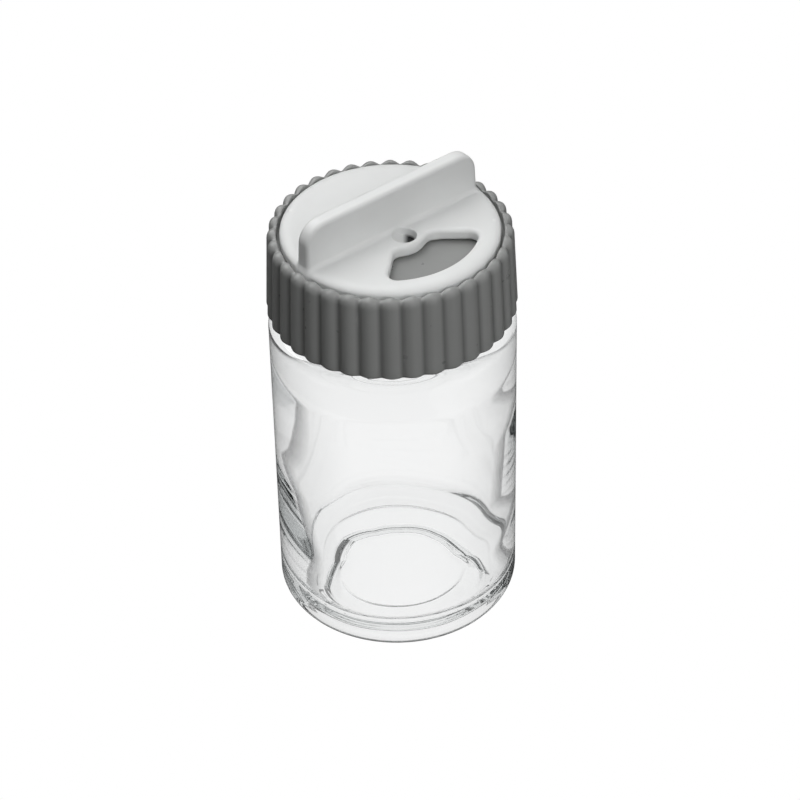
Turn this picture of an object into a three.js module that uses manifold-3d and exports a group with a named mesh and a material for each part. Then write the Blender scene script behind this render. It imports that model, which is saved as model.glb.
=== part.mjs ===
// Restaurant spice shaker: a glass jar, a ribbed screw cap with a shaker deck, the liner that
// seals them, and a dial with a finger bar and one window, which turns over the deck.
// Millimetres, +Z up. The origin is the middle of the jar's base, the finger bar lies along X
// and the window faces -Y, over the blank quarter of the deck, so the shaker is shut.

import * as THREE from "three";
import { mergeVertices } from "three/addons/utils/BufferGeometryUtils.js";
import Module from "manifold-3d";

const wasm = await Module();
wasm.setup();

// Gaps between the pieces
const seatGap = 0.3; // between two faces that rest on each other
const dialRunGap = 0.8; // from the dial's edge to the cap's ring
const hubRunGap = 0.3; // from the dial's hub to the hole that it turns in
const threadCrestGap = 0.4; // from each thread's crest to the wall that it faces
const threadFlankGap = 0.3; // between the flanks that bear on each other
const linerEdgeGap = 0.3; // from the liner's edge to the cap's bore
const skirtGap = 0.9; // from the jar's shoulder fillet up to the cap's skirt

// Glass jar
const jarRadius = 30;
const jarHeight = 102.9; // up to the top of the rim
const jarWall = 2.6;
const heelRadius = 4.6;
const bearingWidth = 3.5; // flat ring that the jar stands on
const pushUp = 2.4; // how far the underside is domed up
const pushUpEdge = 4; // width of the dome's curved edge
const baseThickness = 3.8; // glass over the middle of the dome
const floorCrown = 0.5; // how far the floor rises in the middle
const floorEdgeRadius = 6.2;
const shoulderStep = 4.7; // from the wall in to the neck
const shoulderRadius = 3.5;
const neckFillet = 0.9;
const neckLength = 17; // straight part of the neck, rim included
const neckWall = 2.7;
const throatLength = 10; // height over which the bore narrows below the neck
const rimRadius = 0.8;

// Thread, right-handed with one start
const threadLead = 4.2;
const threadTurns = 1.25;
const threadHeight = 1.2;
const threadRimInset = 4.5; // from the rim down to the jar thread's upper end
const jarThreadBase = 2.6;
const jarThreadCrest = 1.1;
const capThreadBase = 2;
const capThreadCrest = 0.9;
const threadSink = 0.6; // how deep a ridge is rooted in its wall
const threadFadeDegrees = 22.5; // over which a ridge rises from its wall

// Sealing liner
const linerThickness = 0.8;
const linerInset = 0.3; // from the neck's bore out to the liner's inner edge

// Screw cap
const capWall = 2.5; // from the bore to the bottoms of the rib grooves
const ribDepth = 0.85;
const ribCount = 36;
const ribPhaseDegrees = 1.5; // angle of a crest from +X
const capDraft = 0.85; // how much the radius shrinks up the skirt
const capEdgeRound = 1;
const ringWall = 1.55; // from the recess to the bottoms of the rib grooves, at the top
const recessDepth = 2; // from the top of the ring down to the deck
const recessChamfer = 0.4;
const deckThickness = 1.9;
const boreChamfer = 0.7;
const hubHoleRadius = 7.6;

// Openings of the deck, one quarter each, the fourth quarter left blank
const pourInnerRadius = 10.4;
const pourOuterRadius = 20;
const pourHalfDegrees = 36;
const pourCorner = 2;
const fineHoleRadius = 0.9;
const finePitch = 3.2;
const fineRowRadius = 11.5; // radius of the innermost row
const fineRows = [4, 5, 6]; // holes in each row, from the middle out
const coarseHoleRadius = 1.8;
const coarsePitch = 5.6;
const coarseRowRadius = 12.4;
const coarseRows = [2, 3];

// Dial
const dialThickness = 3.3;
const dialPlate = 1.8; // thickness between the walls on its underside
const dialEdgeRound = 1.3;
const dialRimWall = 1.6;
const windowMargin = 5; // from the dial's edge in to the window
const windowHalfDegrees = 48.7;
const windowSideOffset = 2.2; // from the dial's radius in to the window's side
const windowInnerRadius = 9.7;
const windowOuterCorner = 2.6;
const windowInnerCorner = 1.5;
const windowTurnDegrees = 2.2; // from -Y round to the middle of the window's arc
const windowWall = 1.4; // depth of the wall round the window, seen from below
const collarRadius = 4; // round the well, where the window bends out of its way
const collarHalfDegrees = 60; // how far round the collar the window follows it, to each side
const wellRadius = 2.9;
const wellOffset = 5.3; // from the dial's axis
const wellRampTop = 0.3; // depth of the ramp at the well's edge
const wellRampFoot = 2.7; // depth of the ramp where it ends
const wellRampReach = 1.1; // how far past the well's axis the ramp ends
const wellTurnDegrees = -37.8; // way in which the ramp falls

// Finger bar
const barHeight = 11.3;
const barBaseThickness = 4.4;
const barTopThickness = 3.8;
const barLeftInset = 0.1; // from the dial's edge in to the bar's end at -X, at its foot
const barRightInset = 1.1; // the same at +X
const barEndDraft = 0.5;
const barCorner = 5.2;
const barEdgeRound = 1.3;
const barSink = 1; // how deep the bar is rooted in the dial
const coreWidth = 1.5; // slot inside the bar, open below
const coreEndWall = 2.2;
const coreRoof = 2.4;

// Hub, split into four legs, two of which end in a hook
const hubWall = 1.3;
const hubSlotWidth = 1.6;
const hookReach = 1; // past the edge of the hole
const hookHeight = 1.2;
const hookWidth = 5;

// Fineness of the round shapes
const jarSegments = 56;
const capSegments = 72;
const dialSegments = 72;
const ribSteps = 5;
const threadStepDegrees = 7.5;
const arcSteps = 2;
const roundSteps = 2;
const cornerSteps = 4;
const wellSegments = 24;
const fineHoleSegments = 8;
const coarseHoleSegments = 12;

const cutOverrun = 1; // how far a cutter reaches past the face that it opens
const grooveRoundShare = 0.15; // how much of a rib's end rounding its groove gets

// Radii and heights that follow
const boreRadius = jarRadius - jarWall;
const neckRadius = jarRadius - shoulderStep;
const neckBore = neckRadius - neckWall;
const neckFoot = jarHeight - neckLength;
const capBore = neckRadius + threadHeight + threadCrestGap;
const capRadius = capBore + capWall + ribDepth;
const capTopRadius = capRadius - capDraft;
const recessRadius = capTopRadius - ribDepth - ringWall;
const dialRadius = recessRadius - dialRunGap;
const hubRadius = hubHoleRadius - hubRunGap;
const linerHeight = jarHeight + seatGap;
const capHeight = linerHeight + linerThickness + seatGap; // the underside of the deck
const skirtDepth = capHeight - neckFoot - skirtGap;
const ringHeight = deckThickness + recessDepth;

const radians = THREE.MathUtils.degToRad;

// Turns a closed geometry into a solid that can be cut and joined
function solidOf(geometry) {
  const bare = geometry.clone();
  bare.deleteAttribute("normal");
  bare.deleteAttribute("uv");
  const merged = mergeVertices(bare);
  const corners = [];
  const index = merged.index.array;
  for (let i = 0; i < index.length; i += 3) {
    const [a, b, c] = [index[i], index[i + 1], index[i + 2]];
    if (a !== b && b !== c && c !== a) {
      corners.push(a, b, c);
    }
  }
  const mesh = new wasm.Mesh({
    numProp: 3,
    vertProperties: new Float32Array(merged.attributes.position.array),
    triVerts: new Uint32Array(corners),
  });
  return new wasm.Manifold(mesh);
}

// Turns a solid back into a geometry with flat faces
function geometryOf(solid) {
  const mesh = solid.getMesh();
  const geometry = new THREE.BufferGeometry();
  geometry.setAttribute("position", new THREE.BufferAttribute(mesh.vertProperties, mesh.numProp));
  geometry.setIndex(new THREE.BufferAttribute(mesh.triVerts, 1));
  geometry.computeVertexNormals();
  return geometry;
}

// Turns a profile of radius and height round Z. It runs anticlockwise, axis to axis or closed.
function turned(points, segments) {
  const geometry = new THREE.LatheGeometry(points, segments);
  geometry.rotateX(Math.PI / 2);
  return geometry;
}

// Solid ring or disc between two radii and two heights
function band(inner, outer, bottom, top, segments) {
  const path = new THREE.Path();
  path.moveTo(inner, bottom);
  path.lineTo(outer, bottom);
  path.lineTo(outer, top);
  path.lineTo(inner, top);
  if (inner > 0) {
    path.lineTo(inner, bottom);
  }
  return solidOf(turned(path.getPoints(), segments));
}

// Extrudes a flat outline in X and Y between two heights
function prism(shape, bottom, top) {
  const geometry = new THREE.ExtrudeGeometry(shape, {
    depth: top - bottom,
    bevelEnabled: false,
    curveSegments: cornerSteps,
  });
  geometry.translate(0, 0, bottom);
  return solidOf(geometry);
}

// Box between two corners
function block(low, high) {
  const size = new THREE.Vector3().subVectors(high, low);
  const middle = new THREE.Vector3().addVectors(low, high).multiplyScalar(1 / 2);
  const geometry = new THREE.BoxGeometry(size.x, size.y, size.z);
  geometry.translate(middle.x, middle.y, middle.z);
  return solidOf(geometry);
}

// Skins a row of rings with equal numbers of points and closes both ends to their middles
function skinned(rings) {
  const count = rings[0].length;
  const points = rings.flat();
  const index = [];
  for (let level = 0; level + 1 < rings.length; level += 1) {
    for (let i = 0; i < count; i += 1) {
      const a = level * count + i;
      const b = level * count + ((i + 1) % count);
      index.push(a, b, b + count);
      index.push(a, b + count, a + count);
    }
  }
  const last = (rings.length - 1) * count;
  const firstMiddle = points.push(middleOf(rings[0])) - 1;
  const lastMiddle = points.push(middleOf(rings[rings.length - 1])) - 1;
  for (let i = 0; i < count; i += 1) {
    const next = (i + 1) % count;
    index.push(firstMiddle, next, i);
    index.push(lastMiddle, last + i, last + next);
  }
  const geometry = new THREE.BufferGeometry().setFromPoints(points);
  geometry.setIndex(index);
  return solidOf(geometry);
}

function middleOf(ring) {
  const middle = new THREE.Vector3();
  ring.forEach((point) => middle.add(point));
  return middle.divideScalar(ring.length);
}

function polar(radius, angle, height = 0) {
  return new THREE.Vector3(radius * Math.cos(angle), radius * Math.sin(angle), height);
}

// Ridge wound up a wall. Side is 1 on the outside of a wall and -1 on the inside of a bore.
function ridge(wall, side, base, crest, start) {
  const steps = Math.round((threadTurns * 360) / threadStepDegrees);
  const fadeSteps = threadFadeDegrees / threadStepDegrees;
  const root = base + ((base - crest) * threadSink) / threadHeight;
  const rings = [];
  for (let step = 0; step <= steps; step += 1) {
    const angle = radians(step * threadStepDegrees);
    const height = start + (threadLead * angle) / (2 * Math.PI);
    const fade = Math.min(1, step / fadeSteps, (steps - step) / fadeSteps);
    const rootRadius = wall - side * threadSink;
    const crestRadius = wall + side * THREE.MathUtils.lerp(-threadSink / 2, threadHeight, fade);
    const ring = [
      polar(rootRadius, angle, height - root / 2),
      polar(rootRadius, angle, height + root / 2),
      polar(crestRadius, angle, height + crest / 2),
      polar(crestRadius, angle, height - crest / 2),
    ];
    rings.push(side > 0 ? ring : ring.reverse());
  }
  return skinned(rings);
}

// Height of the jar thread's lower end, from the jar's base
const jarThreadStart = jarHeight - threadRimInset - threadLead * threadTurns;

// How far the cap's thread lies under the jar's thread, with the cap screwed down. The flanks
// come nearest at one thread's crest or at the other's.
function threadDrop() {
  const gapShare = threadCrestGap / threadHeight;
  const jarAtCapCrest = jarThreadBase - (jarThreadBase - jarThreadCrest) * gapShare;
  const capAtJarCrest = capThreadBase - (capThreadBase - capThreadCrest) * gapShare;
  const widest = Math.max(jarAtCapCrest + capThreadCrest, capAtJarCrest + jarThreadCrest);
  return widest / 2 + threadFlankGap;
}

// Section of the jar from the axis under its base, up the outside and down the inside
function jarProfile() {
  const path = new THREE.Path();
  const bearingOuter = jarRadius - heelRadius;
  const bearingInner = bearingOuter - bearingWidth;
  const shoulderTop = neckFoot - neckFillet;
  const floor = pushUp + baseThickness;
  const throatMiddle = shoulderTop - throatLength / 2;
  path.moveTo(0, pushUp);
  path.quadraticCurveTo(bearingInner - pushUpEdge, pushUp, bearingInner, 0);
  path.absarc(bearingOuter, heelRadius, heelRadius, -Math.PI / 2, 0, false);
  path.absarc(
    jarRadius - shoulderRadius,
    shoulderTop - shoulderRadius,
    shoulderRadius,
    0,
    Math.PI / 2,
    false,
  );
  path.absarc(neckRadius + neckFillet, neckFoot, neckFillet, -Math.PI / 2, -Math.PI, true);
  path.absarc(neckRadius - rimRadius, jarHeight - rimRadius, rimRadius, 0, Math.PI / 2, false);
  path.absarc(neckBore + rimRadius, jarHeight - rimRadius, rimRadius, Math.PI / 2, Math.PI, false);
  path.lineTo(neckBore, shoulderTop);
  path.quadraticCurveTo(neckBore, throatMiddle, (neckBore + boreRadius) / 2, throatMiddle);
  path.quadraticCurveTo(boreRadius, throatMiddle, boreRadius, shoulderTop - throatLength);
  path.absarc(
    boreRadius - floorEdgeRadius,
    floor + floorEdgeRadius,
    floorEdgeRadius,
    0,
    -Math.PI / 2,
    true,
  );
  path.quadraticCurveTo(bearingInner - pushUpEdge, floor + floorCrown, 0, floor + floorCrown);
  return path.getPoints(arcSteps);
}

function glassJar() {
  const jar = solidOf(turned(jarProfile(), jarSegments));
  const thread = ridge(neckRadius, 1, jarThreadBase, jarThreadCrest, jarThreadStart);
  return jar.add(thread);
}

function sealingLiner() {
  return band(neckBore + linerInset, capBore - linerEdgeGap, 0, linerThickness, capSegments);
}

// Ring of the cap's ribbed outside at a height above the underside of the deck
function ribRing(height, inset) {
  const climb = (height + skirtDepth) / (ringHeight + skirtDepth);
  const crest = capRadius - capDraft * climb - inset;
  const groove = capRadius - capDraft * climb - ribDepth - inset * grooveRoundShare;
  const ring = [];
  for (let i = 0; i < ribCount * ribSteps; i += 1) {
    const across = (2 * (i % ribSteps)) / ribSteps - 1;
    const radius = groove + (crest - groove) * Math.sqrt(1 - across * across);
    const turn = (i / ribSteps - 1 / 2) / ribCount;
    ring.push(polar(radius, radians(ribPhaseDegrees) + 2 * Math.PI * turn, height));
  }
  return ring;
}

// Solid with the cap's outside, rounded at its lower and upper edge
function ribbedBody() {
  const rings = [];
  for (let step = 0; step <= roundSteps; step += 1) {
    const angle = (Math.PI / 2) * (step / roundSteps);
    const rise = capEdgeRound * (1 - Math.cos(angle));
    rings.push(ribRing(rise - skirtDepth, capEdgeRound * (1 - Math.sin(angle))));
  }
  for (let step = roundSteps; step >= 0; step -= 1) {
    const angle = (Math.PI / 2) * (step / roundSteps);
    const drop = capEdgeRound * (1 - Math.cos(angle));
    rings.push(ribRing(ringHeight - drop, capEdgeRound * (1 - Math.sin(angle))));
  }
  return skinned(rings);
}

// Cutter for the bore, which widens at the skirt's lower edge
function boreCutter() {
  const path = new THREE.Path();
  const low = -skirtDepth - cutOverrun;
  path.moveTo(0, low);
  path.lineTo(capBore + boreChamfer + cutOverrun, low);
  path.lineTo(capBore, boreChamfer - skirtDepth);
  path.lineTo(capBore, 0);
  path.lineTo(0, 0);
  return solidOf(turned(path.getPoints(), capSegments));
}

// Cutter for the recess that the dial lies in, which widens at the top of the ring
function recessCutter() {
  const path = new THREE.Path();
  const high = ringHeight + cutOverrun;
  path.moveTo(0, deckThickness);
  path.lineTo(recessRadius, deckThickness);
  path.lineTo(recessRadius, ringHeight - recessChamfer);
  path.lineTo(recessRadius + recessChamfer + cutOverrun, high);
  path.lineTo(0, high);
  return solidOf(turned(path.getPoints(), capSegments));
}

// Outline of a ring sector round +X with rounded corners
function sectorOutline(inner, outer, halfAngle, corner) {
  const innerTurn = halfAngle - corner / inner;
  const outerTurn = halfAngle - corner / outer;
  const shape = new THREE.Shape();
  const curve = (control, end) => shape.quadraticCurveTo(control.x, control.y, end.x, end.y);
  const line = (end) => shape.lineTo(end.x, end.y);
  shape.absarc(0, 0, outer, -outerTurn, outerTurn, false);
  curve(polar(outer, halfAngle), polar(outer - corner, halfAngle));
  line(polar(inner + corner, halfAngle));
  curve(polar(inner, halfAngle), polar(inner, innerTurn));
  shape.absarc(0, 0, inner, innerTurn, -innerTurn, true);
  curve(polar(inner, -halfAngle), polar(inner + corner, -halfAngle));
  line(polar(outer - corner, -halfAngle));
  curve(polar(outer, -halfAngle), polar(outer, -outerTurn));
  return shape;
}

// Cutters for rows of round holes in the quarter of the deck round an angle
function holeCutters(radius, pitch, firstRow, rows, angle, segments) {
  const cutters = [];
  rows.forEach((count, row) => {
    const rowRadius = firstRow + row * pitch;
    const turn = pitch / rowRadius;
    for (let i = 0; i < count; i += 1) {
      const place = polar(rowRadius, angle + turn * (i - (count - 1) / 2));
      const cutter = band(0, radius, -cutOverrun, deckThickness + cutOverrun, segments);
      cutters.push(cutter.translate([place.x, place.y, 0]));
    }
  });
  return cutters;
}

function deckCutters() {
  const pour = sectorOutline(
    pourInnerRadius,
    pourOuterRadius,
    radians(pourHalfDegrees),
    pourCorner,
  );
  return [
    band(0, hubHoleRadius, -cutOverrun, deckThickness + cutOverrun, capSegments),
    prism(pour, -cutOverrun, deckThickness + cutOverrun).rotate([0, 0, 90]),
    ...holeCutters(fineHoleRadius, finePitch, fineRowRadius, fineRows, 0, fineHoleSegments),
    ...holeCutters(
      coarseHoleRadius,
      coarsePitch,
      coarseRowRadius,
      coarseRows,
      Math.PI,
      coarseHoleSegments,
    ),
  ];
}

function screwCap() {
  let cap = ribbedBody().subtract(boreCutter()).subtract(recessCutter());
  deckCutters().forEach((cutter) => {
    cap = cap.subtract(cutter);
  });
  const start = jarThreadStart - threadDrop() - capHeight;
  return cap.add(ridge(capBore, -1, capThreadBase, capThreadCrest, start));
}

// Outline of the dial's window, or with a margin the outline of the wall round it
function windowOutline(margin) {
  const outer = dialRadius - windowMargin + margin;
  const inner = windowInnerRadius - margin;
  const offset = windowSideOffset - margin;
  const collar = collarRadius - margin;
  const collarTurn = radians(collarHalfDegrees);
  const facing = -Math.PI / 2;
  const middle = facing + radians(windowTurnDegrees);
  const side = (radius, sign) => {
    const angle = middle + sign * radians(windowHalfDegrees);
    const along = Math.sqrt(radius * radius - offset * offset);
    return polar(along, angle).add(polar(offset, angle - (sign * Math.PI) / 2));
  };
  const corner = side(outer, 1);
  const arcEnd = Math.atan2(corner.y, corner.x) - windowOuterCorner / outer;
  const collarEnd = polar(wellOffset, facing).add(polar(collar, facing - collarTurn));
  const shape = new THREE.Shape();
  const curve = (control, end) => shape.quadraticCurveTo(control.x, control.y, end.x, end.y);
  const line = (end) => shape.lineTo(end.x, end.y);
  shape.absarc(0, -wellOffset, collar, facing - collarTurn, facing + collarTurn, false);
  curve(side(inner, 1), side(inner + windowInnerCorner, 1));
  line(side(outer - windowOuterCorner, 1));
  curve(corner, polar(outer, arcEnd));
  shape.absarc(0, 0, outer, arcEnd, 2 * middle - arcEnd, true);
  curve(side(outer, -1), side(outer - windowOuterCorner, -1));
  line(side(inner + windowInnerCorner, -1));
  curve(side(inner, -1), collarEnd);
  return shape;
}

// Disc with a rounded upper edge
function dialDisc() {
  const path = new THREE.Path();
  path.moveTo(0, 0);
  path.lineTo(dialRadius, 0);
  path.absarc(
    dialRadius - dialEdgeRound,
    dialThickness - dialEdgeRound,
    dialEdgeRound,
    0,
    Math.PI / 2,
    false,
  );
  path.lineTo(0, dialThickness);
  return solidOf(turned(path.getPoints(arcSteps), dialSegments));
}

// Finger bar with drafted sides, rounded corners and a rounded edge all along
function fingerBar() {
  const left = barLeftInset - dialRadius;
  const right = dialRadius - barRightInset;
  const turn = barEndDraft + barCorner;
  const rise = barSink + barHeight;
  const shape = new THREE.Shape();
  shape.moveTo(left, 0);
  shape.lineTo(right, 0);
  shape.absarc(right - turn, rise - barCorner, barCorner, 0, Math.PI / 2, false);
  shape.absarc(left + turn, rise - barCorner, barCorner, Math.PI / 2, Math.PI, false);
  const geometry = new THREE.ExtrudeGeometry(shape, {
    depth: barBaseThickness - 2 * barEdgeRound,
    bevelThickness: barEdgeRound,
    bevelSize: barEdgeRound,
    bevelOffset: -barEdgeRound,
    bevelSegments: roundSteps,
    curveSegments: cornerSteps,
  });
  geometry.translate(0, 0, barEdgeRound - barBaseThickness / 2);
  geometry.rotateX(Math.PI / 2);
  const place = geometry.attributes.position;
  const narrowing = (barBaseThickness - barTopThickness) / barBaseThickness;
  for (let i = 0; i < place.count; i += 1) {
    place.setY(i, place.getY(i) * (1 - (narrowing * place.getZ(i)) / rise));
  }
  geometry.translate(0, 0, dialThickness - barSink);
  return solidOf(geometry);
}

// Hub with its slots and hooks, from inside the dial down past the deck
function hub() {
  const hookTop = -seatGap - deckThickness - seatGap;
  const bottom = hookTop - hookHeight;
  const hookRadius = hubHoleRadius + hookReach;
  const ring = band(hubRadius - hubWall, hubRadius, bottom, dialPlate, dialSegments);
  const path = new THREE.Path();
  path.moveTo(hubRadius - hubWall / 2, bottom);
  path.lineTo(hubRadius, bottom);
  path.lineTo(hookRadius, hookTop - hookHeight / 2);
  path.lineTo(hookRadius, hookTop);
  path.lineTo(hubRadius - hubWall / 2, hookTop);
  path.lineTo(hubRadius - hubWall / 2, bottom);
  const hooks = solidOf(turned(path.getPoints(), dialSegments)).intersect(
    block(
      new THREE.Vector3(-hookWidth / 2, -hookRadius - cutOverrun, bottom - cutOverrun),
      new THREE.Vector3(hookWidth / 2, hookRadius + cutOverrun, hookTop + cutOverrun),
    ),
  );
  const slot = block(
    new THREE.Vector3(-hookRadius, -hubSlotWidth / 2, bottom - cutOverrun),
    new THREE.Vector3(hookRadius, hubSlotWidth / 2, 0),
  );
  return ring.add(hooks).subtract(slot.rotate([0, 0, 45])).subtract(slot.rotate([0, 0, -45]));
}

// Cutter for the hollow between the hub, the rim and the wall round the window
function undersideCutter() {
  const depth = dialThickness - dialPlate;
  const hollow = band(hubRadius, dialRadius - dialRimWall, -cutOverrun, depth, dialSegments);
  return hollow.subtract(prism(windowOutline(windowWall), -2 * cutOverrun, dialThickness));
}

// Cutter for the slot inside the finger bar
function coreCutter() {
  const reach = dialRadius - barEndDraft - coreEndWall;
  const roof = dialThickness + barHeight - coreRoof;
  return block(
    new THREE.Vector3(barLeftInset - reach, -coreWidth / 2, -cutOverrun),
    new THREE.Vector3(reach - barRightInset, coreWidth / 2, roof),
  );
}

// Cutter for a well over a hook: a ramp falls across it, and past the ramp it goes right through
function wellCutter() {
  const reach = wellRadius + cutOverrun;
  const shape = new THREE.Shape();
  shape.moveTo(-reach, dialThickness + cutOverrun);
  shape.lineTo(-reach, dialThickness - wellRampTop);
  shape.lineTo(-wellRadius, dialThickness - wellRampTop);
  shape.lineTo(wellRampReach, dialThickness - wellRampFoot);
  shape.lineTo(wellRampReach, -cutOverrun);
  shape.lineTo(reach, -cutOverrun);
  shape.lineTo(reach, dialThickness + cutOverrun);
  const geometry = new THREE.ExtrudeGeometry(shape, { depth: 2 * reach, bevelEnabled: false });
  geometry.translate(0, 0, -reach);
  geometry.rotateX(Math.PI / 2);
  geometry.rotateZ(radians(wellTurnDegrees));
  const shaft = band(0, wellRadius, -2 * cutOverrun, dialThickness + 2 * cutOverrun, wellSegments);
  return solidOf(geometry).intersect(shaft).translate([0, -wellOffset, 0]);
}

function shakerDial() {
  const well = wellCutter();
  return dialDisc()
    .subtract(undersideCutter())
    .add(hub())
    .add(fingerBar())
    .subtract(coreCutter())
    .subtract(prism(windowOutline(0), -cutOverrun, dialThickness + cutOverrun))
    .subtract(well)
    .subtract(well.rotate([0, 0, 180]));
}

function material(color, roughness, extra = {}) {
  return new THREE.MeshStandardMaterial({ color, roughness, metalness: 0, ...extra });
}

const clearGlass = material(0xeef3f1, 0.05, { transparent: true, opacity: 0.35 });
const linerFoam = material(0xe6e4dc, 0.9);
const greyPlastic = material(0x6a6d6c, 0.45);
const whitePlastic = material(0xe9ebe9, 0.5);

function piece(name, solid, finish, height) {
  const mesh = new THREE.Mesh(geometryOf(solid), finish);
  mesh.name = name;
  mesh.position.z = height;
  return mesh;
}

// The cap carries the dial, so both stand in one group at the underside of the deck
const closure = new THREE.Group();
closure.position.z = capHeight;
closure.add(piece("screw_cap", screwCap(), greyPlastic, 0));
closure.add(piece("shaker_dial", shakerDial(), whitePlastic, deckThickness + seatGap));

const shaker = new THREE.Group();
shaker.add(piece("glass_jar", glassJar(), clearGlass, 0));
shaker.add(piece("sealing_liner", sealingLiner(), linerFoam, linerHeight));
shaker.add(closure);

export default shaker;
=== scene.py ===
"""Looks of the spice shaker: a glass jar, its ribbed cap, the liner and the dial with a finger bar.

Lengths are in millimetres here and become metres where a mesh is made. Heights are the frame's.
"""

import math

import bpy
import numpy as np
from mathutils import Matrix, Vector
from mathutils.geometry import delaunay_2d_cdt


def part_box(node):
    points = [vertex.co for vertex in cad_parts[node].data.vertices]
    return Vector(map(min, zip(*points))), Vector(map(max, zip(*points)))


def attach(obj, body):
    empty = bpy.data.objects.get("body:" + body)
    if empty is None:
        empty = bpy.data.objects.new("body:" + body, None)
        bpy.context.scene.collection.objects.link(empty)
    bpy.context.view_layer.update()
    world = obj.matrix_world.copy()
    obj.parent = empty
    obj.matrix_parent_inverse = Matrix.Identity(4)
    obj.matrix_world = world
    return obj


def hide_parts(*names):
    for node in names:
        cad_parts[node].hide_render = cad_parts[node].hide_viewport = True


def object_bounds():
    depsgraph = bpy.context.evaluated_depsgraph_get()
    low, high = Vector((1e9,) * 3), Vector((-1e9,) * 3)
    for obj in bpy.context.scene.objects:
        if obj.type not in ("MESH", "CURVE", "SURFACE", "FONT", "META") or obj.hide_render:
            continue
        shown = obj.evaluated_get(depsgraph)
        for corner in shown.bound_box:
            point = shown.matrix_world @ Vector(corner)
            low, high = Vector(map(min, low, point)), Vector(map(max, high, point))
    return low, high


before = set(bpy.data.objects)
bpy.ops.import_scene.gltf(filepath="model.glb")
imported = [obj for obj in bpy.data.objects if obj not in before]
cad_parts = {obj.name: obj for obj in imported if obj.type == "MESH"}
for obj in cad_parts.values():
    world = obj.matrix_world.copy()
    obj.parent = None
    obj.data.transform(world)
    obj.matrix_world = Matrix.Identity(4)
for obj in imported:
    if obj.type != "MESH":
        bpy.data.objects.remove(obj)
cad_low, cad_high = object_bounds()

MM = 0.001
TURN = 2 * math.pi

# Camera, worked out from the ellipses of the jar and the cap in the photograph
CAMERA_TURN = math.radians(-37.8)  # from the view along +Y
CAMERA_REACH = 590.8
CAMERA_HEIGHT = 539.1
CAMERA_PITCH = 0.685
CAMERA_YAW = 0.0023
CAMERA_ROLL = -0.023
CAMERA_LENS = 139.25
CAMERA_SENSOR = 36
CAMERA_NEAR = 50
CAMERA_FAR = 50000

# Studio, in metres
LEFT_WAY = (-math.cos(CAMERA_TURN), -math.sin(CAMERA_TURN), 0)  # the picture's left
FLOOR_HALF = 3
FLOOR_DROP = 0.0002
SHEET_LEFT = -1.2
SHEET_BACK_LEFT = -0.5
SHEET_RIGHT = 1.2
SHEET_REACH = 1.5
SHEET_HEIGHT = 2.4
WHITE_GLOW = 1.0
LEFT_GLOW = 0.14
RIGHT_GLOW = 0.75
FRONT_GLOW = 0.25
LIGHT_DISTANCE = 0.9
# Each light's way (right, towards the camera and up, as shares), size, power, and whether gloss
# shows it
LIGHTS = {
    "back left light": ((-0.5, -0.5, 1), 0.9, 6.2, True),
    "back light": ((0, -0.7, 1), 0.9, 1.5, False),
    "overhead light": ((0.1, 0.6, 1), 0.9, 3.0, False),
    "front light": ((0.7, 1, 0.6), 0.7, 3.0, False),
}
# Brightness of the sky: from and from along a direction, and what they become
SKY_UPWARD = (-0.05, 0.6, 0.02, 0.08)
SKY_LEFTWARD = (-0.3, 0.7, 1, 0.25)
GLASS_BOUNCES = 48  # light runs far inside the jar's wall before it leaves

# Materials. Scales are for each metre, depths are in metres, and a spread is from, from, to and to
MOTTLE_SCALE = 90
MOTTLE_SPREAD = (0.35, 0.65, 0, 0.35)
MOTTLE_SHADE = 0.93
RUBBED_SPREAD = (0.52, 0.6, 0, 0.5)
GRAIN_SCALE = 5200
GRAIN_STRENGTH = 0.12
GRAIN_DEPTH = 0.00005
PLASTIC_WEAR_SCALE = 260
PLASTIC_WEAR_RANGE = (0.3, 0.7)
PLASTIC_WEAR_CHANGE = 0.07  # of the roughness, up and down
PLASTIC_RIPPLE_SCALE = 160
PLASTIC_RIPPLE_STRENGTH = 0.05
PLASTIC_RIPPLE_DEPTH = 0.0004
PLASTIC_IOR = 1.5
GLASS_WEAR_SCALE = 300
GLASS_WEAR_SPREAD = (0.6, 0.85, 0, 0.01)
GLASS_RIPPLE_SCALE = 24
GLASS_RIPPLE_STRENGTH = 0.03
GLASS_RIPPLE_DEPTH = 0.0008
GLASS_DENSITY = 120
GLASS_IOR = 1.5
# How much of each painted shade the glass has, by how much a ray grazes it
PAINTED_GRAZING_SHADE_SPREAD = (0.3, 1, 0, 0.5)
PAINTED_NEAR_LINE_SPREAD = (0.215, 0.25, 0, 1)
PAINTED_FAR_LINE_SPREAD = (0.8, 0.95, 0, 0.9)
FOAM_SCALE = 2500
FOAM_STRENGTH = 0.4
FOAM_DEPTH = 0.0001
FOAM_SHADE = 0.85
FOAM_ROUGHNESS = 0.9
# Where the painted dark lines of the jar's bore fade in: inward over radii, and upward over heights
BORE_RADII = (29.1, 28.8)
BORE_HEIGHTS = (7, 12)
# Painted shade in the cap's grooves: radii over which it fades in outward, and how it spreads
# across a rib
GROOVE_PAINTED_SHADE_RADII = (27.6, 28.4)
GROOVE_PAINTED_SHADE_SPREAD = (0.3, 0.5, 0, 1)  # from a rib's middle, in widths of a rib
# Height over which the painted shade on the hub's web fades out upward
HUB_PAINTED_SHADE_FADE = 0.8
GREY = (0.305, 0.31, 0.305)
GREY_WORN = (0.38, 0.385, 0.38)
WHITE = (0.755, 0.765, 0.76)
WHITE_WORN = (0.84, 0.85, 0.84)
FOAM = (0.78, 0.77, 0.72)
# The clear tint and the body are the glass's own colour; the grazing colour and both line colours
# are painted shade
GLASS_CLEAR = (0.994, 0.996, 0.996, 1)
GLASS_PAINTED_GRAZING_SHADE = (0.3, 0.305, 0.305, 1)
GLASS_PAINTED_FAR_LINE = (0.02, 0.022, 0.021, 1)
GLASS_PAINTED_NEAR_LINE = (0, 0, 0, 1)
GLASS_BODY = (0.95, 0.953, 0.953, 1)

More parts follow.
